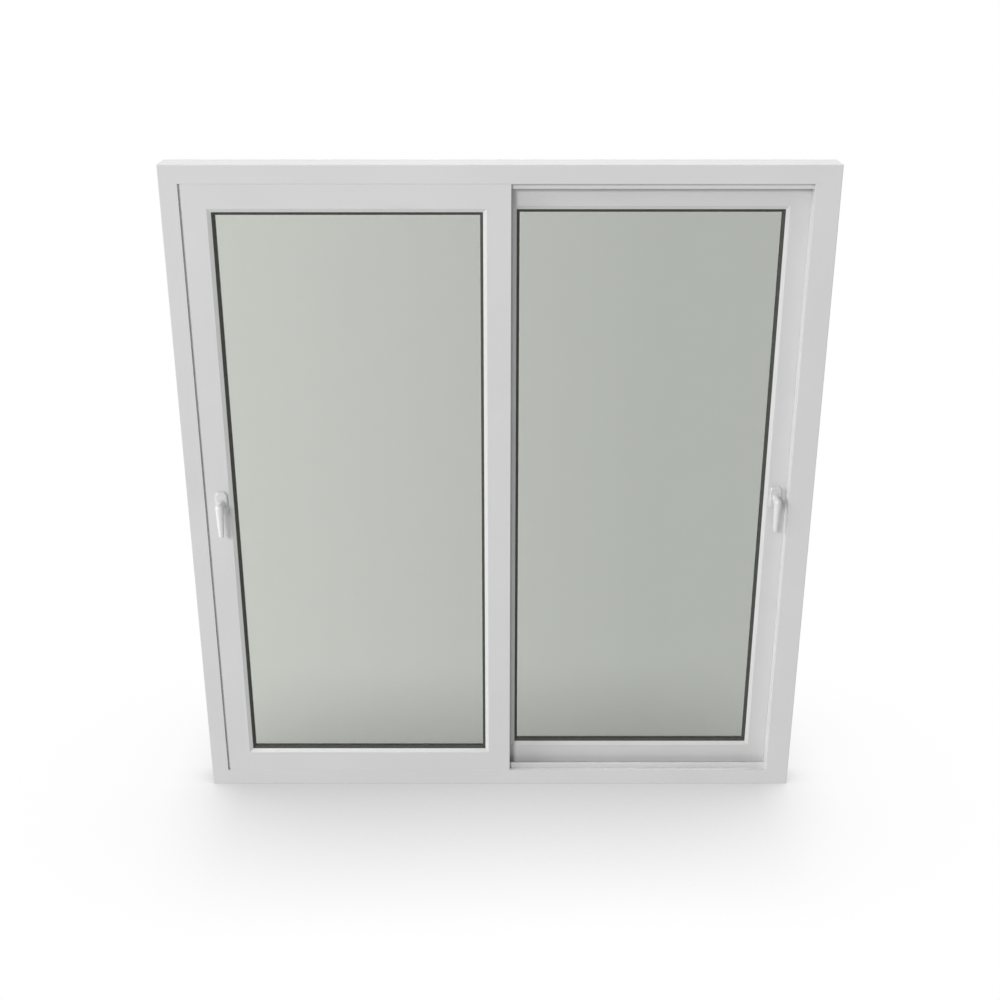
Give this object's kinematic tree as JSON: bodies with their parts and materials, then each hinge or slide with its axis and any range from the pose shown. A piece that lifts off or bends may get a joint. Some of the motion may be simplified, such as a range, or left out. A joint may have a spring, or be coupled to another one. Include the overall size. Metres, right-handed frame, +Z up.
{
  "type": "horizontal sliding window",
  "caption": "White horizontal sliding window with sealed glass units, a room-side and a rear sash that overlap in the middle, and a turning lever handle on each outer stile.",
  "frame": {"origin": "centre of the frame's underside: mid-width, mid-depth, on the floor", "axes": "+X to the right seen from the room, +Y out to the weather side, +Z up; the room side with the handles faces -Y"},
  "size_m": [1.8, 0.148, 1.914],
  "materials": {
    "frame_white": "satin",
    "sash_white": "satin",
    "bead_white": "satin",
    "gasket_black": "matt",
    "spacer_black": "matt",
    "glass_clear": "clear",
    "handle_white": "gloss",
    "brush_grey": "pile"
  },
  "bodies": {
    "window": {"frame_head": "frame_white", "frame_left_jamb": "frame_white", "frame_right_jamb": "frame_white", "frame_sill": "frame_white", "left_handle_rosette": "handle_white", "left_sash_bottom_rail": "sash_white", "left_sash_bottom_rail_bead": "bead_white", "left_sash_front_gasket": "gasket_black", "left_sash_meeting_stile": "sash_white", "left_sash_meeting_stile_bead": "bead_white", "left_sash_outer_stile": "sash_white", "left_sash_outer_stile_bead": "bead_white", "left_sash_rear_gasket": "gasket_black", "left_sash_room_pane": "glass_clear", "left_sash_spacer": "spacer_black", "left_sash_top_rail": "sash_white", "left_sash_top_rail_bead": "bead_white", "left_sash_weather_pane": "glass_clear", "meeting_brush_seal": "brush_grey", "right_handle_rosette": "handle_white", "right_sash_bottom_rail": "sash_white", "right_sash_bottom_rail_bead": "bead_white", "right_sash_front_gasket": "gasket_black", "right_sash_meeting_stile": "sash_white", "right_sash_meeting_stile_bead": "bead_white", "right_sash_outer_stile": "sash_white", "right_sash_outer_stile_bead": "bead_white", "right_sash_rear_gasket": "gasket_black", "right_sash_room_pane": "glass_clear", "right_sash_spacer": "spacer_black", "right_sash_top_rail": "sash_white", "right_sash_top_rail_bead": "bead_white", "right_sash_weather_pane": "glass_clear"},
    "left_handle": {"left_handle_lever": "handle_white"},
    "right_handle": {"right_handle_lever": "handle_white"}
  },
  "joints": [
    {"name": "left_handle_turn", "type": "hinge", "parent": "window", "child": "left_handle", "pos_m": [-0.8, -0.045, 0.957], "axis": [0, -1, 0], "range_deg": [0, 90]},
    {"name": "right_handle_turn", "type": "hinge", "parent": "window", "child": "right_handle", "pos_m": [0.8, -0.002, 0.957], "axis": [0, 1, 0], "range_deg": [0, 90]}
  ]
}
